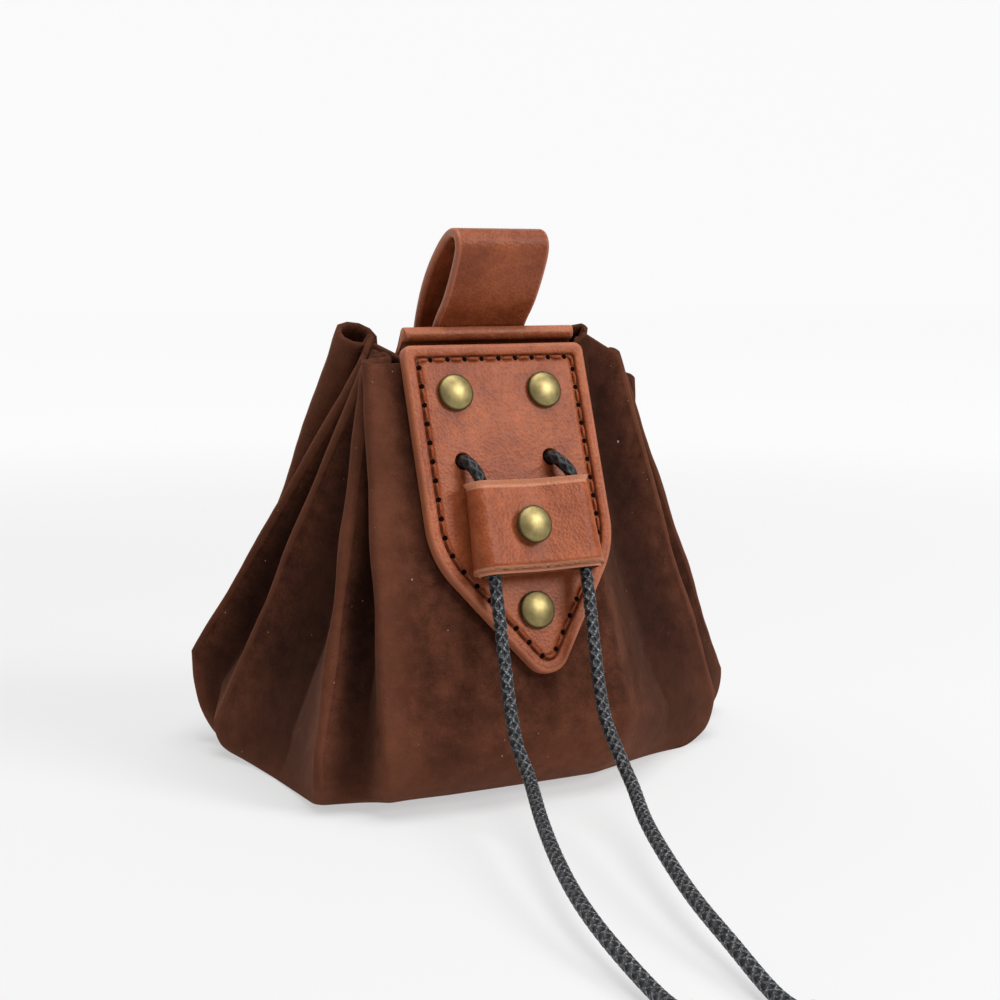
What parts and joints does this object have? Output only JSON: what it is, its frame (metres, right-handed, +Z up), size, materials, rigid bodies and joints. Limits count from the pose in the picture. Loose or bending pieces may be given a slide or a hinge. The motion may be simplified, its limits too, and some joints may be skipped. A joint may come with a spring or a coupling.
{
  "type": "drawstring belt pouch",
  "caption": "Soft gathered suede pouch with a riveted leather front plate, a belt loop, a cord slider and a long waxed drawcord.",
  "frame": {"origin": "on the floor under the middle of the front plate's top edge, at the height the pouch stands on", "axes": "front faces -Y, +X to the viewer's right, +Z up"},
  "size_m": [0.1269, 0.2215, 0.1189],
  "materials": {
    "suede": "matt dark brown suede with a raised nap",
    "leather": "satin red-brown leather with burnished edges",
    "brass": "antique brass, darkened at the rim",
    "cord": "black waxed braid"
  },
  "bodies": {
    "root": {"pouch_body": "suede", "front_plate": "leather", "back_plate": "leather", "belt_loop": "leather", "cord_slider": "leather", "rivet_upper_left": "brass", "rivet_upper_right": "brass", "rivet_lower": "brass", "rivet_back_left": "brass", "rivet_back_right": "brass", "slider_rivet": "brass", "drawcord_left_tail": "cord", "drawcord_right_tail": "cord", "drawcord_left_knot": "cord", "drawcord_right_knot": "cord", "drawcord_inner": "cord"}
  },
  "joints": []
}
